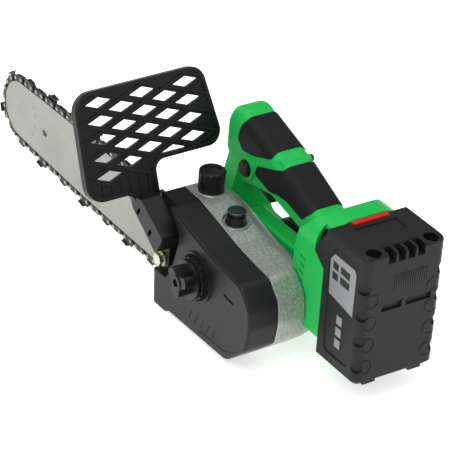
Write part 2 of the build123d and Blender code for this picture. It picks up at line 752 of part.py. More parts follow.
def make_guard():
    shape = guard_shape()
    flat = extrude(guard_plane() * shape, guard_thickness, dir=guard_plane().z_dir)
    rim = shape - offset(shape, -guard_rim)
    plate = flat + extrude(guard_plane(1.6) * rim, guard_thickness + 3.2, dir=guard_plane().z_dir)
    plate -= extrude(guard_plane(5) * guard_windows(), guard_thickness + 12, dir=guard_plane().z_dir)
    plate += extrude(guard_plane(1.4) * guard_ribs(shape), 1.6, dir=guard_plane().z_dir)
    # stem, bent back and down from the plate to the bolt
    high = stem_right + stem_width
    stem = slab(
        outline((guard_base_x - 4, guard_base_z + 2, 3), (guard_base_x + 3.4, guard_base_z - 3, 6),
                (guard_base_x + 1.5, guard_base_z - 9.5, 4), (187.5, 38.5, 2.5), (178.2, 56.5, 2.5),
                (212.5, 75.5, 3)),
        stem_right, high)
    stem += slab(
        outline((188, 47, 2), (206, 47, 4), (guard_pivot_x + 9, guard_pivot_z - 3, 5),
                (guard_pivot_x, guard_pivot_z - 9, 6), (guard_pivot_x - 9, guard_pivot_z - 3, 5)),
        stem_right, stem_right + 5.0)
    for x, z in ((215.6, 63.3), (197.5, 52.8)):
        slot = Pos(x, z) * Rotation(0, 0, -62) * SlotOverall(7.5, 3.4)
        stem -= slab(slot, high - 9, high + 1)
    guard = plate + stem
    guard -= disc(guard_pivot_x, guard_pivot_z, guard_bolt_radius + running_fit, 60, 120)
    return guard


fin_places = (131.5, 123.0, 114.5, 106.0, 97.5, 89.0)
window_columns = ((0, 5), (1, 4), (2, 4), (3, 3), (4, 4))
cell_width = 20.45
cell_height = 15.05


def guard_windows():
    windows = []
    for column, count in window_columns:
        across = 123.0 - cell_width * column
        top = 82.2 if column % 2 == 0 else 82.2 - cell_height / 2
        for row in range(count):
            centre = (across, top - cell_height * row)
            windows.append(Pos(*centre) * rhombus(0.60))
    windows.append((Pos(61.6, 29.7) * rhombus(0.60)) & (Pos(61.6, 34.4) * Rectangle(30, 10)))
    result = windows[0]
    for window in windows[1:]:
        result += window
    return result


def rhombus(share):
    half_width = cell_width * share
    half_height = cell_height / 2 * share
    return Polygon((half_width, 0), (0, half_height), (-half_width, 0), (0, -half_height), align=None)


def guard_ribs(shape):
    """Crossing ribs that stand up from the back of the plate."""
    lines = None
    tilt = math.degrees(math.atan2(cell_height / 2, cell_width))
    for way in (1, -1):
        for step in range(-9, 14):
            place = Pos(123.0 - cell_width, 82.2 + cell_height * (step - 6)) * Rotation(0, 0, way * tilt)
            line = place * Rectangle(400, 1.5)
            lines = line if lines is None else lines + line
    inside = offset(shape, -guard_rim + 0.4)
    border = [(150, 23.6), (143.5, 21.2), (123, 13.4), (102.6, 21.0), (82, 13.4), (70, 9)]
    upper = Polygon(*border, (-10, 9), (-10, 110), (150, 110), align=None)
    lower = Polygon(*[(y, v + 1.4) for y, v in border], (70, -4), (150, -4), align=None)
    fins = None
    for across in fin_places:
        fin = Pos(across, 10) * Rectangle(1.4, 40)
        fins = fin if fins is None else fins + fin
    return (lines & inside & upper) + (fins & inside & lower)


# ---- housing ---------------------------------------------------------------------------------
def handle_outline(inset=0.0):
    i = inset
    return outline(
        (post_front - i, 26 + i, 12), (post_front - i, 85, 12), (post_front + 9 - i, 95, 10),
        (post_front + 8 - i, 123, 18), (post_front - 1 - i, 139.5 - i, 13), (197, 131.8 - i, 60),
        (156, 119.6 - i, 60), (104, 97.5 - i, 14), (90, 95.5 - i, 12),
        (66 + i, 97 - i, 12), (66 + i, 26 + i, 12),
    )


def opening_outline(grow=0.0):
    g = grow
    return outline(
        (opening_front + g, opening_floor - g, 9), (opening_front + g, 76, 4), (190, 80 + g, 10),
        (158, 86 + g, 20), (116, 77.5 + g, 6), (opening_back - g, 66, 5), (opening_back - g, 52 - g, 6),
        (126, opening_floor - g, 8),
    )


def handle_frame(inset=0.0, half_width=handle_width / 2, rounding=handle_rounding):
    frame = slab(handle_outline(inset), -half_width, half_width)
    sides = frame.edges().filter_by(lambda e: abs(abs(e.center().Y) - half_width) < 0.01)
    frame = fillet(sides, rounding)
    opening = slab(opening_outline(inset), -60, 60)
    frame -= opening
    return frame


def box_arch(inset=0.0):
    """Back view of the rear box: (y, z) with arched shoulders."""
    half = battery_width / 2 - inset
    top = battery_height + 2 - inset
    floor = box_floor + inset
    face = Polygon((-half, floor), (half, floor), (half, top), (-half, top), align=None)
    upper = face.vertices().sort_by(Axis.Y)[-2:]
    face = fillet(upper, box_shoulder - inset)
    lower = face.vertices().sort_by(Axis.Y)[:2]
    return fillet(lower, 5)


def make_box(inset=0.0, front_inset=0.0, back=battery_length):
    front = battery_length + box_length - front_inset
    plane = Plane(origin=(back, 0, 0), x_dir=(0, 1, 0), z_dir=(1, 0, 0))
    box = extrude(plane * box_arch(inset), front - back)
    side = slab(
        outline((back - 1, 0, 0), (76 - front_inset, 14 + inset, 4), (front, 27, 8), (front, 80, 8), (front - 4, 98, 8),
                (70 - front_inset, battery_height + 2 - inset, 10), (back - 1, battery_height + 10, 0)),
        -60, 60)
    return box & side


def ear_outline(grow=0.0):
    """Side ear of the battery, seen from the side."""
    g = grow
    tip = battery_length + ear_reach + g
    return outline(
        (battery_length - 4, 80 - g, 0), (battery_length + g, 80.5 - g, 1), (tip, 90.5 - g, 2), (tip, 95, 2),
        (battery_length + g, 112, 1), (battery_length - 4, 112, 0))


def ear_slot():
    """Room for the ear at its place and all the way up, as the battery slides off."""
    tip = battery_length + ear_reach + gap
    return outline(
        (battery_length - 4, 80 - gap, 0), (battery_length + gap, 80.5 - gap, 1), (tip, 90.5 - gap, 2),
        (tip, 140, 0), (battery_length - 4, 140, 0))


ear_inner = 29.5
pad_regions = {
    "front": outline((201, 150, 0), (201.5, 131.5, 3), (206.2, 122.5, 5), (208.8, 112.5, 5), (201, 104.8, 5),
                     (186, 107.2, 8), (161.5, 116, 3), (160.5, 150, 0)),
    "rear": outline((146.5, 150, 0), (145.5, 113.2, 3), (163, 106.8, 4), (179, 101.2, 2), (181.5, 92.5, 2),
                    (160, 87.6, 6), (150, 90, 5), (136, 91, 8), (113.5, 86, 2), (105, 95, 3), (98, 150, 0)),
}


def trigger_slot():
    """Room for the trigger through the underside of the handle."""
    half = trigger_width / 2 + gap
    return slab(outline((203.4, 70, 0), (203.4, 88, 2), (164, 98, 2), (158.5, 92, 2), (158.5, 80, 0), (176, 66, 0)),
                -half, half)


def make_pads():
    """Soft grips: a skin over the handle inside each region."""
    half = handle_width / 2
    outer = handle_frame(-pad_proud, half + pad_proud, handle_rounding)
    under = handle_frame(pad_thickness - pad_proud, half - pad_thickness + pad_proud, handle_rounding - 2)
    shapes = {}
    for name, region in pad_regions.items():
        cut = slab(region, -60, 60)
        shapes[name] = (outer & cut) - under - trigger_slot()
    return shapes


def make_housing(pads):
    half = handle_width / 2
    solid = handle_frame()
    for pad in pads.values():
        solid -= pad
    # foot of the front post, flared over the gear case
    foot = slab(outline((post_front, 61, 0), (post_front, 96, 0), (post_front - 17, 96, 0), (post_front - 17, 61, 0)),
                half - 4, half + 8)
    foot_cut = Plane(origin=(0, half + 8, 62), x_dir=(1, 0, 0), z_dir=(0, 1, 0.26))
    foot = split(foot, bisect_by=foot_cut, keep=Keep.BOTTOM)
    foot = fillet(foot.edges().filter_by_position(Axis.X, post_front - 0.1, post_front + 0.1).sort_by(Axis.Y)[-1], 3)
    # motor saddle on the left of the middle
    saddle = slab(
        outline((92, 24, 0), (92, 64, 6), (106, 58.5, 12), (186, 58.5, 8), (200, 50, 6), (212, 36, 3), (204, 24, 6),
                (motor_x + 22, 4, 8), (motor_x, 0, 26), (motor_x - 24, 2, 14)),
        saddle_right, case_right - 0.1)
    top_edges = saddle.edges().filter_by(GeomType.LINE).filter_by(Axis.X).group_by(Axis.Z)[-1]
    saddle = fillet(top_edges, 3)
    box = make_box()
    solid += foot
    solid += saddle
    solid += box
    # hollow inside
    motor_room = disc(motor_x, axis_height, motor_cover_radius + 0.1, -60, saddle_right)
    solid -= motor_room
    solid -= disc(motor_x, axis_height, motor_radius + 0.6, -60, case_right + 1)
    solid -= disc(motor_x, axis_height, motor_cover_radius - 2.4, -60, saddle_right + 3.2)
    solid -= make_box(wall, wall, battery_length - 1)
    hollow = slab(
        outline((214, 100, 3), (210, 128, 8), (152, 114, 20), (128, 106, 12), (108, 93, 8), (88, 92, 2), (86, 74, 2),
                (102, 78, 4), (116, 83, 6), (158, 91.5, 12), (190, 87, 6), (207, 80, 3), (208, 50, 3),
                (214.5, 50, 3)),
        -half + wall + 1.6, half - wall - 1.6)
    solid -= hollow
    # ears of the battery
    for low, high in ((ear_inner, 60), (-60, -ear_inner)):
        solid -= slab(ear_slot(), low, high)
    # trigger slot
    solid -= trigger_slot()
    # lock-off button ring and bore
    lock_ring = ring(lock_x, lock_z, lock_radius + 3.6, lock_radius + 0.35, half - 1, half + 2.2)
    solid += lock_ring
    solid -= disc(lock_x, lock_z, lock_radius + 0.35, half - 9, half + 10)
    # vents and screw bosses
    for i in range(7):
        vent = Pos(81.5 - 0.3 * i, 35 + 6.8 * i) * Rotation(0, 0, 20) * SlotOverall(7, 1.9)
        solid -= slab(vent, -60, 60)
    for x, z in housing_screw_places():
        solid += disc(x, z, 3.6, -half + wall, half - wall) & disc(x, z, 3.6, -half, half)
        solid -= disc(x, z, housing_screw_radius + pin_fit, -half - 5, half - wall - 1)
        solid -= disc(x, z, 3.2, -60, -half + 2.2)
    # clear of the gear case and the motor's end cover
    solid -= case_clearance()
    everything = 400
    left = solid & block((-everything, everything), (0, everything), (-everything, everything))
    right = solid & block((-everything, everything), (-everything, 0), (-everything, everything))
    return left, right


saddle_right = 3.0
housing_screw_radius = 1.8


def case_clearance():
    return case_right_part() + slab(case_outline(0.0), case_flange - 0.5, 120)


def housing_screw_places():
    return [(217, 106), (152, 114.5), (98, 84.5), (211.5, 64)]


def make_housing_screws():
    half = handle_width / 2
    screws = []
    for x, z in housing_screw_places():
        screw = disc(x, z, housing_screw_radius, -half + 2.2, half - wall - 2)
        head = disc(x, z, 3.0, -half + 0.4, -half + 2.2)
        slot = slab(Pos(x, z) * (Rectangle(3.6, 0.8) + Rectangle(0.8, 3.6)), -half, -half + 1.2)
        screws.append(screw + head - slot)
    return screws


def make_motor_cover():
    """Ribbed, vented cap over the motor's right end."""
    back = motor_back
    cap = disc(motor_x, axis_height, motor_cover_radius, back, saddle_right - 0.1)
    cap = fillet(cap.edges().filter_by_position(Axis.Y, back - 0.1, back + 0.1), 5)
    cap -= disc(motor_x, axis_height, motor_cover_radius - 2.6, back + 3, saddle_right + 5)
    for i in range(9):
        low = back + 7 + 4.6 * i
        groove = ring(motor_x, axis_height, motor_cover_radius + 1, motor_cover_radius - 1.1, low, low + 2.0)
        cap -= groove
    for i in range(10):
        angle = 36 * i
        slot = Pos(motor_x, axis_height) * Rotation(0, 0, angle) * Pos(17.5, 0) * SlotOverall(9, 3.0)
        cap -= slab(slot, back - 1, back + 4)
    seat = ring(motor_x, axis_height, bearing_outer["motor"] + 2.4, bearing_outer["motor"], back + 2.9, back + 7.6)
    cap += seat
    return cap


# ---- battery ---------------------------------------------------------------------------------
def make_battery():
    half = battery_width / 2
    body = block((0, battery_length), (-half, half), (0, battery_height))
    back_edges = body.edges().filter_by(Axis.Z).group_by(Axis.X)[0]
    body = fillet(back_edges, battery_corner)
    top = body.edges().group_by(Axis.Z)[-1]
    body = fillet([e for e in top if e.center().X < battery_length - 1], 3.0)
    bottom = [e for e in body.edges().group_by(Axis.Z)[0] if e.center().X < battery_length - 1]
    body = chamfer(bottom, 4.0)
    for low, high in ((ear_inner + gap, half), (-half, -ear_inner - gap)):
        body += slab(ear_outline(), low, high)
    # side panels, finger recess on top, wells, vents and pulls at the back
    panel = outline((43.5, 12, 5), (46.5, 90, 4), (38, 108, 6), (13, 108, 6), (10.5, 100, 6), (10.5, 15, 6), (14, 12, 4))
    for low, high in ((half - 0.8, half + 5), (-half - 5, -half + 0.8)):
        body -= slab(panel, low, high)
    body -= block((26.5, 43), (-20, 20), (battery_height - 1.2, battery_height + 5))
    for y in (-27, 27):
        body -= upright(7.0, y, 6.2, battery_height - 20, battery_height + 5)
    for i in range(4):
        y = -13.8 + 9.2 * i
        notch = block((-1, 12), (y - 3.4, y + 3.4), (battery_height - 9, battery_height + 5))
        body -= notch
        body += block((10.6, 12.2), (y - 3.6, y + 3.6), (battery_height - 10, battery_height - 0.5))
    for y_low, y_high in ((0.5, 19.5), (-27.5, -3.5)):
        body -= block((-1, 2.2), (y_low, y_high), (64.6, 70.8))
    for y in (-half, half):
        for z in (17, 41, 64, 88):
            side = 1 if y > 0 else -1
            dent = Pos(0.6, y - side * 0.6, z) * Rot(0, 0, 45 * side) * Rot(90, 0, 90) * Cylinder(5.0, 9)
            body -= dent
    for y in (-22, 22):
        body += block((3, 13), (y - 6, y + 6), (-1.6, 3))
    # slot for the latch, holes for the screws
    body -= block((battery_length - 5.2 - gap, battery_length + 1), (-17 - gap, 17 + gap),
                  (battery_height - 21, battery_height + 5))
    for y in (-27, 27):
        body -= upright(7.0, y, 2.0 + pin_fit, 90, battery_height)
    # hollow for the cells, open at the front
    room = block((3, battery_length + 20), (-half + 3.2, half - 3.2), (4.2, 94))
    body -= fillet(room.edges().filter_by(Axis.Z).group_by(Axis.X)[0], 6)
    body -= block((14, battery_length + 20), (-ear_inner + 3, ear_inner - 3), (90, battery_height - 4))
    return body


def make_battery_front():
    """Front cover of the battery, with the tower that plugs into the housing."""
    half = battery_width / 2 - 3.4
    cover = block((battery_length - 3, battery_length - 0.2), (-half, half), (4.4, 79.5))
    tower = block((battery_length - 0.3, battery_length + tower_depth), (-tower_width / 2, tower_width / 2),
                  (tower_low, tower_high))
    tower = fillet(tower.edges().group_by(Axis.X)[-1], 1.5)
    contact_room = block((battery_length + 2, battery_length + tower_depth + 1), (-12, 12), (32, 60))
    return cover + tower - contact_room


def make_socket():
    """Socket in the housing that the battery's tower runs in."""
    inner = battery_width / 2 - wall - 0.1
    x_back = battery_length + 2.0
    x_front = battery_length + tower_depth + 3.5
    frame = block((x_back, x_front), (-inner, inner), (tower_low - 3.4, 78.0))
    frame -= block((x_back - 1, battery_length + tower_depth + gap), (-tower_width / 2 - gap, tower_width / 2 + gap),
                   (tower_low - gap, 100))
    return frame


def make_terminals():
    back = battery_length + tower_depth + gap
    base = block((back - 4, back), (-9.5, 9.5), (35, 57))
    contacts = [block((back - 9, back - 4), (y - 0.5, y + 0.5), (39, 53)) for y in (-6, 0, 6)]
    return base, group(contacts)


def make_cells():
    cells = []
    for row in range(5):
        for column in range(2):
            x = 13.0 + 19.6 * column
            z = 14.0 + 17.5 * row
            cells.append(Pos(x, 0, z) * Rot(90, 0, 0) * Cylinder(8.6, 65))
    return cells


def make_latch():
    """Red press bar on top of the battery with its tongue."""
    bar = block((battery_length - 5.2, battery_length - 0.6), (-17, 17), (battery_height - 12, battery_height + 1.8))
    top = bar.edges().group_by(Axis.Z)[-1]
    bar = fillet(top, 0.9)
    tongue = block((battery_length - 5.2, battery_length - 2), (-9, 9), (battery_height - 19, battery_height - 12))
    return bar + tongue


# ---- trigger, buttons, cap -------------------------------------------------------------------
def make_trigger():
    half = trigger_width / 2
    body = slab(
        outline((202.6, 78, 2), (202.6, 89, 2), (trigger_pivot_x, 96.5, 2), (168, 94, 2), (164, 88, 2),
                (165, 72, 3), (171, 68.8, 2)),
        -half, half)
    body -= disc(trigger_pivot_x, trigger_pivot_z, 1.6 + running_fit, -half - 1, half + 1)
    pin = disc(trigger_pivot_x, trigger_pivot_z, 1.6, -half - 1.8, half + 1.8)
    return body, pin


press_stem_radius = 4.5


def make_press_button():
    roof = press_seat
    skirt = 6.4
    collar = Pos(press_x, press_y, roof + skirt / 2) * Cone(press_radius + 1.4, press_radius - 0.4, skirt)
    collar -= upright(press_x, press_y, press_radius - 1.8, roof + 0.8, roof + 20)
    collar -= upright(press_x, press_y, press_stem_radius - 1.1, roof - 1, roof + 10)
    neck_low = roof + 4.6
    cap_low = roof + skirt + 3.2
    neck = upright(press_x, press_y, press_radius - 2.2, neck_low, cap_low)
    cap = upright(press_x, press_y, press_radius, cap_low, cap_low + 1.7)
    cap = fillet(cap.edges().group_by(Axis.Z)[-1], 0.7)
    stem = upright(press_x, press_y, press_stem_radius - 1.5, roof - 14, neck_low)
    return collar, neck + cap + stem


def make_oil_cap():
    low = case_roof + gap
    cap = upright(oil_cap_x, oil_cap_y, oil_cap_radius - 0.4, low, low + oil_cap_height)
    cap = fillet(cap.edges().group_by(Axis.Z)[-1], 1.6)
    cap -= upright(oil_cap_x, oil_cap_y, oil_cap_radius - 4.5, low + oil_cap_height - 1.2, low + oil_cap_height + 2)
    for i in range(14):
        angle = 2 * math.pi * i / 14
        cap -= upright(oil_cap_x + (oil_cap_radius + 0.6) * math.cos(angle),
                       oil_cap_y + (oil_cap_radius + 0.6) * math.sin(angle), 1.7, low + 2, low + oil_cap_height + 2)
    cap -= upright(oil_cap_x, oil_cap_y, seal_radius + gap, low - 1, low + 8)
    stem = upright(oil_cap_x, oil_cap_y, oil_neck_radius - 1.0, low - 9, low + 2)
    stem += upright(oil_cap_x, oil_cap_y, seal_radius, low + 0.2, low + 6)
    cap -= upright(oil_cap_x, oil_cap_y, 3.0 + running_fit, low + 7, low + 12)
    stem += upright(oil_cap_x, oil_cap_y, 3.0, low + 5, low + 11.5)
    return cap, stem


seal_radius = oil_neck_radius + 0.8


def make_oil_tank():
    back = oil_tank_back + 0.6
    tank = block((back, 208.4), (case_right + case_wall + 4.6, case_left - plate_thickness - 0.6), (-12, 56))
    tank = fillet(tank.edges().filter_by(Axis.Y), 3)
    tank += upright(oil_cap_x - 5, oil_cap_y, 6, 50, 56)
    tank += upright(oil_cap_x, oil_cap_y, oil_neck_radius + 2.0, 52, case_roof)
    inside = block((back + 2, 206.4), (case_right + case_wall + 6.6, case_left - plate_thickness - 2.6), (-10, 54))
    tank -= inside
    tank -= upright(oil_cap_x, oil_cap_y, oil_neck_radius, 50, case_roof + 1)
    return tank


def make_oil_pump():
    x, z = 143.0, 0.0
    pump = block((x - 9, x + 9), (46, case_left - plate_thickness - 0.3), (z - 6, z + 6))
    pump += disc(x, z, 4.0, web_right + web_thickness + 0.3, 46)
    pump += lengthwise(53, z, 2.0, x + 9, 164.8)
    return pump


def make_inside_parts():
    """Switch, board, springs and wiring block in the housing."""
    pieces = {}
    pieces["trigger_switch"] = block((132, 158), (-7, 7), (96, 103)) + block((158, 160.5), (-3, 3), (97.5, 101))
    spring_x = trigger_pivot_x - 24
    pieces["trigger_spring"] = Pos(spring_x, 0, 95.4) * coil_spring(3.0, 0.5, 22.6, 9)
    pieces["press_button_spring"] = Pos(press_x, press_y, press_seat + 1.25) * coil_spring(4.4, 0.4, 2.9, 2.5)
    pieces["controller_board"] = block((84.0, 85.6), (-24, 17), (32, 80)) + block((76, 84), (-14, 14), (40, 70))
    return pieces


def coil_spring(radius, wire, height, turns):
    path = Helix(pitch=height / turns, height=height, radius=radius)
    start = path @ 0
    face = Plane(origin=start, z_dir=path % 0) * Circle(wire)
    return sweep(face, path=path, is_frenet=True)


# ---- put it together --------------------------------------------------------------------------
def build():
    parts = {}
    pads = make_pads()
    left, right = make_housing(pads)
    parts["housing_left"] = left
    parts["housing_right"] = right
    parts["grip_pad_front"] = pads["front"]
    parts["grip_pad_rear"] = pads["rear"]
    parts["motor_end_cover"] = make_motor_cover()
    parts["housing_screws"] = group(make_housing_screws())
    parts["gear_case"] = make_gear_case()
    parts["gear_case_plate"] = make_case_plate()
    parts["gear_case_screws"] = group(make_case_screws())
    parts["bar_studs"] = group(make_studs())
    parts["guide_bar"] = make_bar()
    star, hub = make_nose_sprocket()
    parts["nose_sprocket"] = star
    parts["nose_rivets"] = group([hub, *make_bar_rivets()])
    drives, ties, cutters, rivets = make_chain()
    parts["chain_drive_links"] = group(drives)
    parts["chain_tie_straps"] = group(ties)
    parts["chain_cutters"] = group(cutters)
    parts["chain_rivets"] = group(rivets)
    parts.update(make_drive())
    parts["drive_sprocket"], parts["sprocket_washer"], parts["sprocket_clip"] = make_sprocket()
    parts["sprocket_cover"] = make_cover()
    parts["tension_dial"], parts["clamp_knob"], parts["clamp_knob_screw"] = make_dial_and_knob()
    parts["tension_pin"] = disc(tension_pin_x, tension_pin_z, tension_pin_radius, case_left - 0.8, bar_plane + 5)
    parts["hand_guard"] = make_guard()
    bolt_head_low = stem_right + 5.0 + gap
    bolt = disc(guard_pivot_x, guard_pivot_z, guard_bolt_radius, recess_face - 4.8, bolt_head_low)
    bolt += ring(guard_pivot_x, guard_pivot_z, 6.2, 1.0, bolt_head_low, bolt_head_low + 1.2)
    bolt += slab(Pos(guard_pivot_x, guard_pivot_z) * RegularPolygon(5.6, 6), bolt_head_low + 1.2, bolt_head_low + 5.4)
    parts["guard_bolt"] = bolt
    nut = slab(Pos(guard_pivot_x, guard_pivot_z) * RegularPolygon(5.2, 6), recess_face - 4.8, recess_face - 2)
    parts["guard_nut"] = nut - disc(guard_pivot_x, guard_pivot_z, guard_bolt_radius, 60, 120)
    parts["trigger"], parts["trigger_pin"] = make_trigger()
    half = handle_width / 2
    parts["lock_off_button"] = disc(lock_x, lock_z, lock_radius, half - 3, half + 5.4)
    parts["lock_off_button"] = fillet(
        parts["lock_off_button"].edges().filter_by_position(Axis.Y, half + 5.3, half + 5.5), 1.4)
    parts["press_button_collar"], parts["press_button"] = make_press_button()
    parts["oil_cap"], parts["oil_cap_stem"] = make_oil_cap()
    parts["oil_tank"] = make_oil_tank()
    parts["oil_pump"] = make_oil_pump()
    parts["battery_case"] = make_battery()
    parts["battery_front"] = make_battery_front()
    parts["battery_cells"] = group(make_cells())
    parts["battery_latch"] = make_latch()
    parts["battery_socket"] = make_socket()
    base, contacts = make_terminals()
    parts["terminal_block"] = base
    parts["terminal_contacts"] = contacts
    parts.update(make_inside_parts())
    screws = [
        upright(7.0, y, 2.0, battery_height - 22.3, battery_height - 20)
        + upright(7.0, y, 3.6, battery_height - 20, battery_height - 17.5)
        for y in (-27, 27)
    ]
    parts["battery_screws"] = group(screws)
    return parts


def base_centre(parts):
    boxes = [shape.bounding_box() for shape in parts.values()]
    low = [min(getattr(b.min, a) for b in boxes) for a in "XYZ"]
    high = [max(getattr(b.max, a) for b in boxes) for a in "XYZ"]
    return ((low[0] + high[0]) / 2, (low[1] + high[1]) / 2, low[2])


def main():
    parts = build()
    cx, cy, cz = base_centre(parts)
    os.makedirs("parts", exist_ok=True)
    for name, shape in parts.items():
        export_step(Pos(-cx, -cy, -cz) * shape, f"parts/{name}.step")
    print("shift", round(-cx, 4), round(-cy, 4), round(-cz, 4), "link pitch", round(link_pitch, 3),
          "press seat", round(press_seat, 3))


main()
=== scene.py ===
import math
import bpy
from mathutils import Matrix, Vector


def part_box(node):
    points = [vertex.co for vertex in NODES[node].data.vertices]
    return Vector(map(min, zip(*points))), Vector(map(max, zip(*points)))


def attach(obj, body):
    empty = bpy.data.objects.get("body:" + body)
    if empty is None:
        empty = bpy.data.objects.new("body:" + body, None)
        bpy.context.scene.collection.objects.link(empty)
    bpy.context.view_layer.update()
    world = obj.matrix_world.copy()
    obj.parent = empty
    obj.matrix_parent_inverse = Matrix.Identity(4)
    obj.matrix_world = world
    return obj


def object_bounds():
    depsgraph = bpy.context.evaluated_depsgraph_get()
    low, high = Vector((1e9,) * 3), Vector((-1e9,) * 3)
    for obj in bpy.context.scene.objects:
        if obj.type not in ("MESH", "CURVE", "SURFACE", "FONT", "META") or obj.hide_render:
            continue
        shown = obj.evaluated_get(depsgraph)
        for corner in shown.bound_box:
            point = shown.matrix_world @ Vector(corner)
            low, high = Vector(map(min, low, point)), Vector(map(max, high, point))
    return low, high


bl_info = {
    "name": "Cordless chainsaw",
    "version": (1, 0, 0),
    "blender": (4, 5, 0),
    "location": "3D View > Sidebar > Chainsaw",
    "description": "Finishes and detail pieces for the packed chainsaw",
    "category": "Object",
}

import bpy
from mathutils import Matrix, Vector

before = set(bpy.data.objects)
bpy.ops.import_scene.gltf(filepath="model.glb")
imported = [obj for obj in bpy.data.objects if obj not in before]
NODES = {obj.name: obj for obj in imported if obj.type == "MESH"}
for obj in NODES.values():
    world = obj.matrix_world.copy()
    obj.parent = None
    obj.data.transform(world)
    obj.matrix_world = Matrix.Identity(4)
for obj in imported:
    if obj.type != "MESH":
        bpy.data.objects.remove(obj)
CAD_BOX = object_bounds()

# Places are given in millimetres from the back of the battery, the middle of the handle and the
# battery's underside.
BACK_LOW, BACK_HIGH = (Vector(corner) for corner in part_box("battery_case"))
ORIGIN = Vector((BACK_LOW.x, (BACK_LOW.y + BACK_HIGH.y) / 2, BACK_LOW.z + 0.0016))


def at(x, y, z):
    return ORIGIN + Vector((x, y, z)) / 1000


# ---- modelling helpers ---------------------------------------------------------------------------
def deselect():
    if bpy.context.object and bpy.context.object.mode != "OBJECT":
        bpy.ops.object.mode_set(mode="OBJECT")
    bpy.ops.object.select_all(action="DESELECT")


def pick(obj):
    deselect()
    obj.select_set(True)
    bpy.context.view_layer.objects.active = obj


def named(name):
    obj = bpy.context.object
    obj.name = name
    obj.data.name = name
    return obj


def settle(obj, angle=35):
    """Bake an object's place into its mesh and smooth it, leaving edges over an angle sharp."""
    pick(obj)
    bpy.ops.object.transform_apply(location=True, rotation=True, scale=True)
    bpy.ops.object.shade_smooth_by_angle(angle=math.radians(angle))
    return obj


def modify(obj, kind, **settings):
    pick(obj)
    modifier = obj.modifiers.new(kind.title(), kind)
    for key, value in settings.items():
        setattr(modifier, key, value)
    bpy.ops.object.modifier_apply(modifier=modifier.name)


def plate(name, corners, thickness, edge=0.0, segments=2):
    """A flat piece: corners are points in metres round its first face, thickness a vector."""
    deselect()
    bpy.ops.mesh.primitive_circle_add(vertices=len(corners), radius=0.01, fill_type="NGON")
    obj = named(name)
    for vertex, corner in zip(obj.data.vertices, corners):
        vertex.co = corner
    bpy.ops.object.mode_set(mode="EDIT")
    bpy.ops.mesh.select_all(action="SELECT")
    bpy.ops.mesh.extrude_region_move(TRANSFORM_OT_translate={"value": thickness})
    bpy.ops.mesh.select_all(action="SELECT")
    bpy.ops.mesh.normals_make_consistent(inside=False)
    bpy.ops.object.mode_set(mode="OBJECT")
    if edge:
        modify(obj, "BEVEL", width=edge, segments=segments, limit_method="ANGLE", angle_limit=math.radians(40))
    return obj


def bar_block(name, low, high, edge=0.0003):
    """A box between two corners with rounded edges."""
    corners = [
        Vector((low.x, low.y, low.z)), Vector((high.x, low.y, low.z)),
        Vector((high.x, high.y, low.z)), Vector((low.x, high.y, low.z)),
    ]
    return plate(name, corners, (0, 0, high.z - low.z), edge)


def pin(name, centre, radius, depth, direction="Y", vertices=48, edge=0.0002):
    """A round piece with softened edges, its axis along X, Y or Z."""
    deselect()
    bpy.ops.mesh.primitive_cylinder_add(vertices=vertices, radius=radius, depth=depth)
    obj = named(name)
    turn = {"X": (0, math.pi / 2, 0), "Y": (math.pi / 2, 0, 0), "Z": (0, 0, 0)}[direction]
    obj.rotation_euler = turn
    obj.location = centre
    bpy.ops.object.transform_apply(location=True, rotation=True, scale=True)
    if edge:
        modify(obj, "BEVEL", width=edge, segments=2, limit_method="ANGLE", angle_limit=math.radians(40))
    return obj


def strip(name, points, across, width, height):
    """A raised line along points in metres: across is the direction of its width, height a vector."""
    pieces = []
    side = Vector(across).normalized() * width / 2
    for start, end in zip(points, points[1:]):
        corners = [start - side, end - side, end + side, start + side]
        pieces.append(plate("line", corners, height, width * 0.25, 1))
    return join(pieces, name) if len(pieces) > 1 else pieces[0]


def bow(centre, radius, start, end, steps=9):
    """Points in the YZ plane along an arc: angles in degrees from +Y."""
    points = []
    for index in range(steps + 1):
        angle = math.radians(start + (end - start) * index / steps)
        points.append(centre + Vector((0, math.cos(angle), math.sin(angle))) * radius)
    return points


def join(objs, name):
    deselect()
    for obj in objs:
        obj.select_set(True)
    bpy.context.view_layer.objects.active = objs[0]
    bpy.ops.object.join()
    return named(name)


def give(obj, body, material):
    """A finished piece: its body and its material."""
    obj.data.materials.clear()
    obj.data.materials.append(material)
    settle(obj)
    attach(obj, body)
    return obj


def coat(material, *names):
    """A material for CAD nodes."""
    for name in names:
        for slot in NODES[name].material_slots:
            slot.material = material


# ---- shader helpers ------------------------------------------------------------------------------
class Val:
    """A shader value that can be written in sums."""

    def __init__(self, finish, socket):
        self.finish = finish
        self.socket = socket

    def _math(self, operation, *values):
        return self.finish.node("ShaderNodeMath", {"operation": operation}, *values)

    def __add__(self, other):
        return self._math("ADD", self, other)

    __radd__ = __add__

    def __sub__(self, other):
        return self._math("SUBTRACT", self, other)

    def __rsub__(self, other):
        return self._math("SUBTRACT", other, self)

    def __mul__(self, other):
        return self._math("MULTIPLY", self, other)

    __rmul__ = __mul__

    def band(self, low, high):
        """0 below low, 1 above high, smooth between."""
        return self.finish.node(
            "ShaderNodeMapRange", {"interpolation_type": "SMOOTHSTEP"},
            Value=self, **{"From Min": low, "From Max": high})


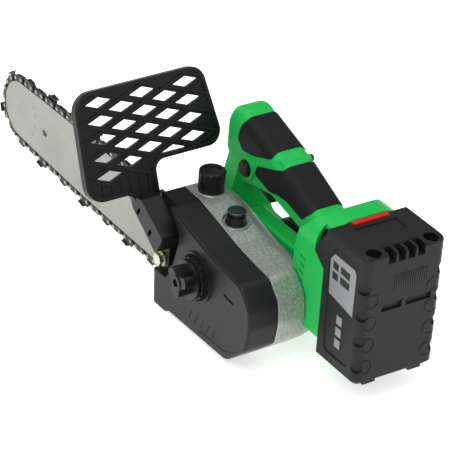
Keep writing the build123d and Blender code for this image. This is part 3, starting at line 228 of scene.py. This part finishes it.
class Finish:
    """A material with a Principled shader and the nodes that feed it."""

    def __init__(self, name):
        self.material = bpy.data.materials.new(name)
        self.material.use_nodes = True
        self.tree = self.material.node_tree
        self.shader = self.tree.nodes["Principled BSDF"]
        self.place = self.node("ShaderNodeTexCoord", {}, out="Object")

    def node(self, kind, settings, *values, out=0, **sockets):
        made = self.tree.nodes.new(kind)
        for key, value in settings.items():
            setattr(made, key, value)
        for index, value in enumerate(values):
            self.feed(made.inputs[index], value)
        for key, value in sockets.items():
            self.feed(made.inputs[key], value)
        return Val(self, made.outputs[out])

    def feed(self, socket, value):
        if isinstance(value, Val):
            self.tree.links.new(value.socket, socket)
        else:
            socket.default_value = value

    def set(self, **sockets):
        for key, value in sockets.items():
            self.feed(self.shader.inputs[key.replace("_", " ")], value)

    def noise(self, scale, detail=3.0, roughness=0.55, stretch=None):
        where = self.stretched(stretch) if stretch else self.place
        return self.node(
            "ShaderNodeTexNoise", {}, Vector=where, Scale=scale, Detail=detail, Roughness=roughness)

    def cells(self, scale, feature="F1", stretch=None):
        where = self.stretched(stretch) if stretch else self.place
        return self.node("ShaderNodeTexVoronoi", {"feature": feature}, Vector=where, Scale=scale)

    def stretched(self, amounts):
        return self.node("ShaderNodeMapping", {}, Vector=self.place, Scale=amounts)

    def mix(self, factor, first, second):
        made = self.tree.nodes.new("ShaderNodeMix")
        made.data_type = "RGBA"
        self.feed(made.inputs["Factor"], factor)
        self.feed(made.inputs[6], first)
        self.feed(made.inputs[7], second)
        return Val(self, made.outputs[2])

    def rounded(self, radius):
        """Normals that run round the edges by that radius."""
        return self.node("ShaderNodeBevel", {"samples": 4}, Radius=radius)

    def bump(self, height, strength, distance, normal=None):
        made = {"Height": height, "Strength": strength, "Distance": distance}
        if normal is not None:
            made["Normal"] = normal
        return self.node("ShaderNodeBump", {}, **made)

    def worn(self, radius, low=0.02, high=0.25):
        """1 along the edges, 0 on the flats."""
        edge = self.node(
            "ShaderNodeVectorMath", {"operation": "DOT_PRODUCT"}, self.rounded(radius),
            self.node("ShaderNodeNewGeometry", {}, out="True Normal"), out="Value")
        return (1.0 - edge).band(low, high)


def rgb(colour, gain=1.0):
    return (colour[0] * gain, colour[1] * gain, colour[2] * gain, 1.0)


def moulded_plastic(name, colour, rough, grain=0.25, edge=0.0005, gloss_var=0.08, grain_scale=2600):
    """Moulded plastic: spark-eroded grain, slow colour and gloss changes, rounded and rubbed edges."""
    f = Finish(name)
    slow = f.noise(14, 4)
    fine = f.noise(grain_scale, 3, 0.6)
    speck = f.noise(420, 4, 0.7)
    tone = f.mix(slow * 0.6 + speck * 0.4, rgb(colour, 0.86), rgb(colour, 1.14))
    scuffs = f.noise(90, 6, 0.75, (1.0, 1.0, 6.0)).band(0.62, 0.78)
    rub = f.worn(edge * 1.6)
    tone = f.mix(scuffs * 0.12 + rub * 0.25, tone, rgb([min(1.0, c * 1.5 + 0.02) for c in colour]))
    f.set(Base_Color=tone, Roughness=(rough + (slow - 0.5) * gloss_var + (fine - 0.5) * 0.08 + scuffs * 0.08))
    f.set(Normal=f.bump(fine, grain, 0.00012, f.bump(slow, 0.08, 0.0006, f.rounded(edge))))
    f.shader.inputs["Specular IOR Level"].default_value = 0.3
    return f.material


def soft_rubber(name, colour):
    """Overmoulded rubber: fine leathery grain, dusty bloom and no sharp gloss."""
    f = Finish(name)
    pores = f.cells(1700)
    slow = f.noise(25, 4)
    dust = f.noise(160, 5, 0.7).band(0.45, 0.8)
    tone = f.mix(slow * 0.5 + dust * 0.3, rgb(colour, 0.8), rgb(colour, 1.9))
    f.set(Base_Color=tone, Roughness=(0.52 + (slow - 0.5) * 0.14 + dust * 0.06))
    f.set(Normal=f.bump(pores, 0.3, 0.00016, f.bump(slow, 0.15, 0.0008, f.rounded(0.0007))))
    f.shader.inputs["Specular IOR Level"].default_value = 0.22
    return f.material


def cast_aluminium(name, colour):
    """Sand-cast metal: coarse skin, pits, greyer hollows and bright rubbed edges."""
    f = Finish(name)
    grain = f.noise(520, 5, 0.65)
    lumps = f.cells(420)
    slow = f.noise(30, 4)
    pits = f.cells(1100).band(0.0, 0.3)
    height = grain * 0.6 + lumps * 0.5 + pits * 0.3
    rub = f.worn(0.0009)
    tone = f.mix(grain.band(0.3, 0.7), rgb(colour, 0.62), rgb(colour, 1.25))
    tone = f.mix(slow * 0.35, tone, rgb(colour, 0.75))
    tone = f.mix(rub * 0.6, tone, rgb([0.75, 0.76, 0.75]))
    f.set(Base_Color=tone, Metallic=0.75, Roughness=(0.46 + (grain - 0.5) * 0.25 - rub * 0.12))
    f.set(Normal=f.bump(height, 0.55, 0.00035, f.rounded(0.0009)))
    return f.material


def brushed_metal(name, colour, rough, along="X", grain=0.25, stain=0.2, edge=0.0003, metallic=0.9):
    """Ground or drawn steel: fine lines one way, faint oil stains, bright edges."""
    f = Finish(name)
    stretch = {"X": (0.06, 1.0, 1.0), "Y": (1.0, 0.06, 1.0), "Z": (1.0, 1.0, 0.06)}[along]
    lines = f.noise(1600, 4, 0.7, stretch)
    wide = f.noise(240, 3, 0.6, stretch)
    slow = f.noise(22, 5, 0.65)
    rub = f.worn(edge * 1.5)
    tone = f.mix(lines * 0.5 + wide * 0.5, rgb(colour, 0.8), rgb(colour, 1.2))
    tone = f.mix(slow.band(0.45, 0.75) * stain, tone, rgb([colour[0] * 0.7, colour[1] * 0.66, colour[2] * 0.58]))
    tone = f.mix(rub * 0.35, tone, rgb([min(0.85, c * 1.6) for c in colour]))
    f.set(Base_Color=tone, Metallic=metallic, Roughness=(rough + (lines - 0.5) * 0.16 + slow * 0.06))
    f.set(Normal=f.bump(lines, grain, 0.00006, f.rounded(edge)))
    return f.material


def oiled_chain(name, colour):
    """Blued chain steel with an oily film and polished edges."""
    f = Finish(name)
    slow = f.noise(70, 4)
    fine = f.noise(900, 4, 0.7)
    rub = f.worn(0.0004, 0.01, 0.18)
    tone = f.mix(slow, rgb(colour, 0.55), rgb([colour[0] * 1.3, colour[1] * 1.15, colour[2] * 1.0]))
    tone = f.mix(rub * 0.55, tone, rgb([0.42, 0.41, 0.4]))
    f.set(Base_Color=tone, Metallic=0.8, Roughness=(0.34 + (fine - 0.5) * 0.25 + slow * 0.1))
    f.set(Normal=f.bump(fine, 0.25, 0.00008, f.rounded(0.00025)))
    return f.material


def zinc_plate(name, colour):
    """Bright zinc with faint yellow passivation."""
    f = Finish(name)
    slow = f.noise(160, 4)
    fine = f.noise(1400, 4, 0.7)
    tone = f.mix(slow.band(0.35, 0.7), rgb(colour), rgb([colour[0] * 1.02, colour[1] * 0.93, colour[2] * 0.72]))
    f.set(Base_Color=tone, Metallic=0.95, Roughness=(0.27 + (fine - 0.5) * 0.2 + slow * 0.08))
    f.set(Normal=f.bump(fine, 0.15, 0.00006, f.rounded(0.0003)))
    return f.material


def printed_label(name, colour):
    """Satin printed film with a fine print grain."""
    f = Finish(name)
    fine = f.noise(2400, 3)
    slow = f.noise(60, 4)
    tone = f.mix(fine * 0.4 + slow * 0.6, rgb(colour, 0.92), rgb(colour, 1.08))
    f.set(Base_Color=tone, Roughness=(0.42 + (slow - 0.5) * 0.1))
    f.set(Normal=f.bump(fine, 0.1, 0.00005))
    return f.material


def studio_floor(name, colour):
    f = Finish(name)
    slow = f.noise(3, 3)
    tone = f.mix(slow, rgb(colour, 0.985), rgb(colour, 1.0))
    f.set(Base_Color=tone, Roughness=0.85)
    f.shader.inputs["Emission Color"].default_value = (1.0, 1.0, 1.0, 1.0)
    f.shader.inputs["Emission Strength"].default_value = 0.62
    return f.material


FINISHES = {}

# Marks on the battery: millimetres for places on its side, metres for sizes
LABEL_DEPTH = 0.8
MARK_PITCH = 10.5
MARK_HEIGHT = 7.5
CRESCENT_RADIUS = 0.0062

# Outer face of the sprocket cover: flat to FACE_BREAK, then sloping in towards the front
FACE_Y = 91.9
FACE_BREAK = 157
FACE_SLOPE = 0.093


def label_face():
    """Y of the sunk panel on the battery's left side that the label is stuck in."""
    return (BACK_HIGH.y - ORIGIN.y) * 1000 - LABEL_DEPTH


def cover_face(x):
    """Y of the sprocket cover's outer face at a place along it."""
    return FACE_Y if x < FACE_BREAK else FACE_Y + 0.6 - (x - 150) * FACE_SLOPE


# ---- settings ------------------------------------------------------------------------------------
def colour_setting(name, default, description):
    return bpy.props.FloatVectorProperty(
        name=name, description=description, default=default, size=3, min=0.0, max=1.0, subtype="COLOR")


def size_setting(name, default, description):
    return bpy.props.FloatProperty(
        name=name, description=description, default=default, min=0.0, soft_max=0.5, subtype="DISTANCE", unit="LENGTH",
        precision=4)


class ChainsawColours(bpy.types.PropertyGroup):
    housing: colour_setting("Housing", (0.006, 0.50, 0.082), "Green of the clamshell housing")
    plastic: colour_setting("Black plastic", (0.007, 0.007, 0.0078), "Sprocket cover, guard and knobs")
    battery: colour_setting("Battery", (0.0085, 0.0088, 0.0105), "Battery case")
    rubber: colour_setting("Grip rubber", (0.006, 0.006, 0.007), "Soft grip pads")
    casting: colour_setting("Casting", (0.44, 0.46, 0.44), "Cast gear case")
    bar: colour_setting("Guide bar", (0.33, 0.335, 0.31), "Guide bar steel")
    chain: colour_setting("Chain", (0.05, 0.048, 0.05), "Saw chain steel")
    latch: colour_setting("Latch", (0.62, 0.012, 0.01), "Battery latch")
    label: colour_setting("Label", (0.27, 0.28, 0.29), "Battery label")


class ChainsawSizes(bpy.types.PropertyGroup):
    label_thickness: size_setting("Label thickness", 0.0005, "How far the label stands off the battery")
    hatch_pitch: size_setting("Hatch pitch", 0.0022, "Distance between ridges of the battery's hatched patch")


def colours():
    return bpy.context.scene.chainsaw_colours


def sizes():
    return bpy.context.scene.chainsaw_sizes


def finish(name):
    """One of the shared materials, made when it is first asked for."""
    if name not in FINISHES:
        c = colours()
        makers = {
            "green_shell": lambda: moulded_plastic("green_shell", c.housing, 0.34, 0.12, 0.0007, 0.06, 1500),
            "black_shell": lambda: moulded_plastic("black_shell", c.plastic, 0.42, 0.35, 0.0007),
            "smooth_black": lambda: moulded_plastic("smooth_black", c.plastic, 0.28, 0.1, 0.0006, 0.06, 1500),
            "battery_shell": lambda: moulded_plastic("battery_shell", c.battery, 0.5, 0.4, 0.0006),
            "battery_gloss": lambda: moulded_plastic("battery_gloss", c.battery, 0.36, 0.15, 0.0004),
            "red_latch": lambda: moulded_plastic("red_latch", c.latch, 0.3, 0.08, 0.0004, 0.05, 1500),
            "tank_plastic": lambda: moulded_plastic("tank_plastic", (0.5, 0.47, 0.4), 0.4, 0.1),
            "board_resin": lambda: moulded_plastic("board_resin", (0.02, 0.13, 0.05), 0.35, 0.1),
            "cell_wrap": lambda: moulded_plastic("cell_wrap", (0.05, 0.2, 0.3), 0.3, 0.05),
            "grip_rubber": lambda: soft_rubber("grip_rubber", c.rubber),
            "casting": lambda: cast_aluminium("casting", c.casting),
            "machined": lambda: brushed_metal("machined", (0.5, 0.5, 0.49), 0.34, "Z"),
            "bar_steel": lambda: brushed_metal("bar_steel", c.bar, 0.36, "X", 0.2, 0.25, 0.0003, 0.85),
            "gear_steel": lambda: brushed_metal("gear_steel", (0.36, 0.36, 0.37), 0.3, "Y"),
            "dark_steel": lambda: brushed_metal("dark_steel", (0.09, 0.09, 0.095), 0.3, "Y", 0.15, 0.1),
            "laminations": lambda: brushed_metal("laminations", (0.2, 0.2, 0.21), 0.42, "X", 0.5),
            "bearing_chrome": lambda: brushed_metal(
                "bearing_chrome", (0.6, 0.6, 0.62), 0.14, "Y", 0.05, 0.05),
            "rivet_steel": lambda: brushed_metal("rivet_steel", (0.3, 0.3, 0.3), 0.3, "Y", 0.1, 0.15),
            "chain_steel": lambda: oiled_chain("chain_steel", c.chain),
            "zinc": lambda: zinc_plate("zinc", (0.62, 0.61, 0.57)),
            "brass": lambda: zinc_plate("brass", (0.7, 0.45, 0.16)),
            "label_grey": lambda: printed_label("label_grey", c.label),
            "label_ink": lambda: printed_label("label_ink", (0.012, 0.012, 0.013)),
        }
        FINISHES[name] = makers[name]()
    return FINISHES[name]


# ---- operators -----------------------------------------------------------------------------------
class PieceOperator:
    bl_options = {"REGISTER", "UNDO"}


class CHAINSAW_OT_housing(PieceOperator, bpy.types.Operator):
    """Finish the green housing, the grips and the motor's end cover"""

    bl_idname = "chainsaw.housing"
    bl_label = "Housing and grips"

    def execute(self, context):
        coat(finish("green_shell"), "housing_left", "housing_right")
        coat(finish("grip_rubber"), "grip_pad_front", "grip_pad_rear")
        coat(finish("black_shell"), "motor_end_cover")
        coat(finish("dark_steel"), "housing_screws")
        return {"FINISHED"}


class CHAINSAW_OT_gear_case(PieceOperator, bpy.types.Operator):
    """Finish the gear case and what is bolted to it"""

    bl_idname = "chainsaw.gear_case"
    bl_label = "Gear case"

    def execute(self, context):
        coat(finish("casting"), "gear_case")
        coat(finish("machined"), "gear_case_plate")
        coat(finish("dark_steel"), "gear_case_screws")
        coat(finish("tank_plastic"), "oil_tank")
        coat(finish("black_shell"), "oil_pump", "press_button_collar")
        coat(finish("smooth_black"), "oil_cap", "oil_cap_stem")
        coat(finish("dark_steel"), "press_button")
        return {"FINISHED"}


class CHAINSAW_OT_cover(PieceOperator, bpy.types.Operator):
    """Finish the sprocket cover with its dial and knob"""

    bl_idname = "chainsaw.cover"
    bl_label = "Sprocket cover"

    def execute(self, context):
        coat(finish("black_shell"), "sprocket_cover", "tension_dial")
        coat(finish("smooth_black"), "clamp_knob")
        coat(finish("dark_steel"), "clamp_knob_screw")
        self.raised_lines()
        return {"FINISHED"}


    def raised_lines(self):
        """Line along the lower edge and the short ribs under it."""
        line = [at(x, cover_face(x), z) for x, z in ((84, 0), (100, -8.5), (135, -10), (182, -11.5))]
        pieces = [strip("line", line, (0, 0, 1), 0.0009, (0, 0.0005, 0))]
        for index in range(7):
            x = 116 + index * 8.5
            ends = [at(x, cover_face(x), 1.5), at(x + 3.6, cover_face(x + 3.6), -7.5)]
            pieces.append(strip("rib", ends, (1, 0, 0), 0.0008, (0, 0.0005, 0)))
        give(join(pieces, "cover_raised_lines"), "saw", finish("black_shell"))


class CHAINSAW_OT_guard(PieceOperator, bpy.types.Operator):
    """Finish the hand guard and its bolt"""

    bl_idname = "chainsaw.guard"
    bl_label = "Hand guard"

    def execute(self, context):
        coat(finish("black_shell"), "hand_guard")
        coat(finish("zinc"), "guard_bolt", "guard_nut")
        return {"FINISHED"}


class CHAINSAW_OT_bar_and_chain(PieceOperator, bpy.types.Operator):
    """Finish the guide bar and the saw chain"""

    bl_idname = "chainsaw.bar_and_chain"
    bl_label = "Bar and chain"

    def execute(self, context):
        coat(finish("bar_steel"), "guide_bar")
        coat(finish("gear_steel"), "nose_sprocket", "drive_sprocket")
        coat(finish("rivet_steel"), "nose_rivets", "chain_rivets")
        coat(finish("chain_steel"), "chain_drive_links", "chain_tie_straps", "chain_cutters")
        coat(finish("zinc"), "bar_studs", "tension_pin", "sprocket_washer")
        coat(finish("dark_steel"), "sprocket_clip")
        return {"FINISHED"}


class CHAINSAW_OT_battery(PieceOperator, bpy.types.Operator):
    """Finish the battery and add its label, its hatched patch and its marks"""

    bl_idname = "chainsaw.battery"
    bl_label = "Battery"

    def execute(self, context):
        coat(finish("battery_shell"), "battery_case", "battery_front")
        coat(finish("red_latch"), "battery_latch")
        coat(finish("dark_steel"), "battery_screws")
        coat(finish("cell_wrap"), "battery_cells")
        self.label()
        self.label_marks()
        self.hatched_patch()
        self.cell_marks()
        return {"FINISHED"}

    def label(self):
        side = label_face()
        thick = sizes().label_thickness
        outline = [(40, 100.5), (13.4, 100), (10.9, 96), (11.6, 59), (43.2, 64), (44.6, 94)]
        corners = [at(x, side - 0.2, z) for x, z in outline]
        face = plate("battery_label", corners, (0, thick + 0.0002, 0), 0.0002)
        give(face, "battery", finish("label_grey"))

    def label_marks(self):
        """Plain bars where a label carries its printing."""
        face = label_face() + sizes().label_thickness * 1000 - 0.15
        bars = []
        for back, front, rise in ((33.5, 40.5, 91.5), (18.5, 30.5, 91.5), (33.5, 40.5, 82.5), (18.5, 30.5, 82.5)):
            corners = [
                at(front, face, rise - 3.4), at(back, face, rise - 4.0),
                at(back, face, rise + 2.4), at(front, face, rise + 3.0),
            ]
            bars.append(plate("bar", corners, (0, 0.0003, 0), 0.0001, 1))
        give(join(bars, "battery_label_marks"), "battery", finish("label_ink"))
        squares = []
        for index in range(3):
            floor = 22 + MARK_PITCH * index
            low = at(23.5, face - 0.3, floor)
            high = at(30.5, face + 0.15, floor + MARK_HEIGHT)
            squares.append(bar_block("bar", low, high, 0.0001))
        give(join(squares, "battery_side_marks"), "battery", finish("label_grey"))

    def cell_marks(self):
        """Raised crescents down the back edges and a pip between the slots."""
        arcs = []
        for side in (-1, 1):
            for rise in (17, 37, 57, 77):
                middle = at(0, side * 29.5, rise)
                start, end = (35, 325) if side > 0 else (-145, 145)
                points = bow(middle + Vector((-0.0001, 0, 0)), CRESCENT_RADIUS, start, end)
                arcs.append(strip("arc", points, (0, 1, 0), 0.0009, (-0.0004, 0, 0)))
        arcs.append(pin("pip", at(-0.2, 0, 70), 0.0011, 0.0012, "X"))
        give(join(arcs, "battery_cell_marks"), "battery", finish("battery_gloss"))

    def hatched_patch(self):
        ridges = []
        pitch = sizes().hatch_pitch * 1000
        count = int(35 / pitch)
        for index in range(count):
            y = -22.5 + pitch * index
            low = at(-0.35, y, 81.5)
            high = at(0.4, y + pitch * 0.5, 95.5)
            ridges.append(bar_block("ridge", low, high, 0.0002))
        patch = join(ridges, "battery_grip_ridges")
        give(patch, "battery", finish("battery_gloss"))


class CHAINSAW_OT_controls(PieceOperator, bpy.types.Operator):
    """Finish the trigger and the lock-off button"""

    bl_idname = "chainsaw.controls"
    bl_label = "Controls"

    def execute(self, context):
        coat(finish("smooth_black"), "trigger", "lock_off_button")
        coat(finish("dark_steel"), "trigger_pin")
        return {"FINISHED"}


class CHAINSAW_OT_inside(PieceOperator, bpy.types.Operator):
    """Finish the motor, the gears and the wiring pieces"""

    bl_idname = "chainsaw.inside"
    bl_label = "Inside"

    def execute(self, context):
        coat(finish("gear_steel"), "output_spindle", "output_gear", "intermediate_shaft", "second_stage_pinion",
             "first_stage_gear", "motor_pinion")
        coat(finish("laminations"), "motor_rotor", "motor_stator")
        coat(finish("bearing_chrome"), "motor_bearings", "gear_bearings")
        coat(finish("black_shell"), "cooling_fan", "battery_socket", "terminal_block", "trigger_switch")
        coat(finish("brass"), "terminal_contacts")
        coat(finish("board_resin"), "controller_board")
        coat(finish("zinc"), "trigger_spring", "press_button_spring")
        return {"FINISHED"}


class CHAINSAW_OT_stage(PieceOperator, bpy.types.Operator):
    """Add the floor, the lights and the camera"""

    bl_idname = "chainsaw.stage"
    bl_label = "Stage"

    def execute(self, context):
        self.floor()
        self.lights()
        self.camera()
        return {"FINISHED"}

    def floor(self):
        deselect()
        bpy.ops.mesh.primitive_grid_add(x_subdivisions=4, y_subdivisions=4, size=14, location=(0, 0, CAD_BOX[0][2]))
        ground = named("studio_floor")
        ground.data.materials.append(studio_floor("studio_white", (0.93, 0.93, 0.93)))
        settle(ground)

    def lights(self):
        for name, place, aim, size, power, tint in (
            ("key", (-0.9, 1.2, 1.7), (0, 0, 0.08), 1.1, 17, (1.0, 0.985, 0.96)),
            ("fill", (-1.5, -0.9, 1.1), (0, 0, 0.08), 1.6, 6, (0.96, 0.98, 1.0)),
            ("top", (0.1, -0.1, 1.9), (0, 0, 0.0), 1.8, 13, (1.0, 1.0, 1.0)),
            ("rim", (1.4, 0.6, 0.9), (0, 0, 0.08), 1.0, 6, (1.0, 1.0, 1.0)),
        ):
            lamp = bpy.data.lights.new(name, "AREA")
            lamp.shape = "SQUARE"
            lamp.size = size
            lamp.energy = power
            lamp.color = tint
            obj = bpy.data.objects.new(name, lamp)
            bpy.context.scene.collection.objects.link(obj)
            obj.location = place
            obj.rotation_euler = (Vector(aim) - Vector(place)).to_track_quat("-Z", "Y").to_euler()
        world = bpy.data.worlds.new("studio_air")
        world.use_nodes = True
        world.node_tree.nodes["Background"].inputs["Color"].default_value = (1.0, 1.0, 1.0, 1.0)
        world.node_tree.nodes["Background"].inputs["Strength"].default_value = 0.32
        bpy.context.scene.world = world
        bpy.context.scene.view_settings.view_transform = "Standard"

    def camera(self):
        turn, rise, roll = math.radians(35.124), math.radians(30.845), 0.072
        ahead = Vector((math.cos(rise) * math.cos(turn), -math.cos(rise) * math.sin(turn), -math.sin(rise)))
        right = ahead.cross(Vector((0, 0, 1))).normalized()
        up = right.cross(ahead)
        tilted_right = right * math.cos(roll) + up * math.sin(roll)
        tilted_up = up * math.cos(roll) - right * math.sin(roll)
        data = bpy.data.cameras.new("camera")
        data.sensor_width = 36
        data.lens = 211.25
        data.clip_end = 50
        eye = bpy.data.objects.new("camera", data)
        bpy.context.scene.collection.objects.link(eye)
        spin = Matrix((tilted_right, tilted_up, -ahead)).transposed().to_4x4()
        eye.matrix_world = Matrix.Translation(at(-1327.5, 1103.5, 1152.3)) @ spin
        bpy.context.scene.camera = eye


class CHAINSAW_PT_panel(bpy.types.Panel):
    """Lists the chainsaw's pieces and settings"""

    bl_label = "Chainsaw"
    bl_space_type = "VIEW_3D"
    bl_region_type = "UI"
    bl_category = "Chainsaw"

    def draw(self, context):
        for group in (colours(), sizes()):
            box = self.layout.box()
            for key in group.__annotations__:
                box.prop(group, key)
        for operator in OPERATORS:
            self.layout.operator(operator.bl_idname)


OPERATORS = (
    CHAINSAW_OT_housing, CHAINSAW_OT_gear_case, CHAINSAW_OT_cover, CHAINSAW_OT_guard, CHAINSAW_OT_bar_and_chain,
    CHAINSAW_OT_battery, CHAINSAW_OT_controls, CHAINSAW_OT_inside, CHAINSAW_OT_stage,
)
CLASSES = (ChainsawColours, ChainsawSizes) + OPERATORS + (CHAINSAW_PT_panel,)


def register():
    for cls in CLASSES:
        bpy.utils.register_class(cls)
    bpy.types.Scene.chainsaw_colours = bpy.props.PointerProperty(type=ChainsawColours)
    bpy.types.Scene.chainsaw_sizes = bpy.props.PointerProperty(type=ChainsawSizes)


def unregister():
    del bpy.types.Scene.chainsaw_sizes
    del bpy.types.Scene.chainsaw_colours
    for cls in reversed(CLASSES):
        bpy.utils.unregister_class(cls)


def main():
    register()
    for operator in OPERATORS:
        group, name = operator.bl_idname.split(".")
        getattr(getattr(bpy.ops, group), name)()
    deselect()


if __name__ == "__main__":
    main()
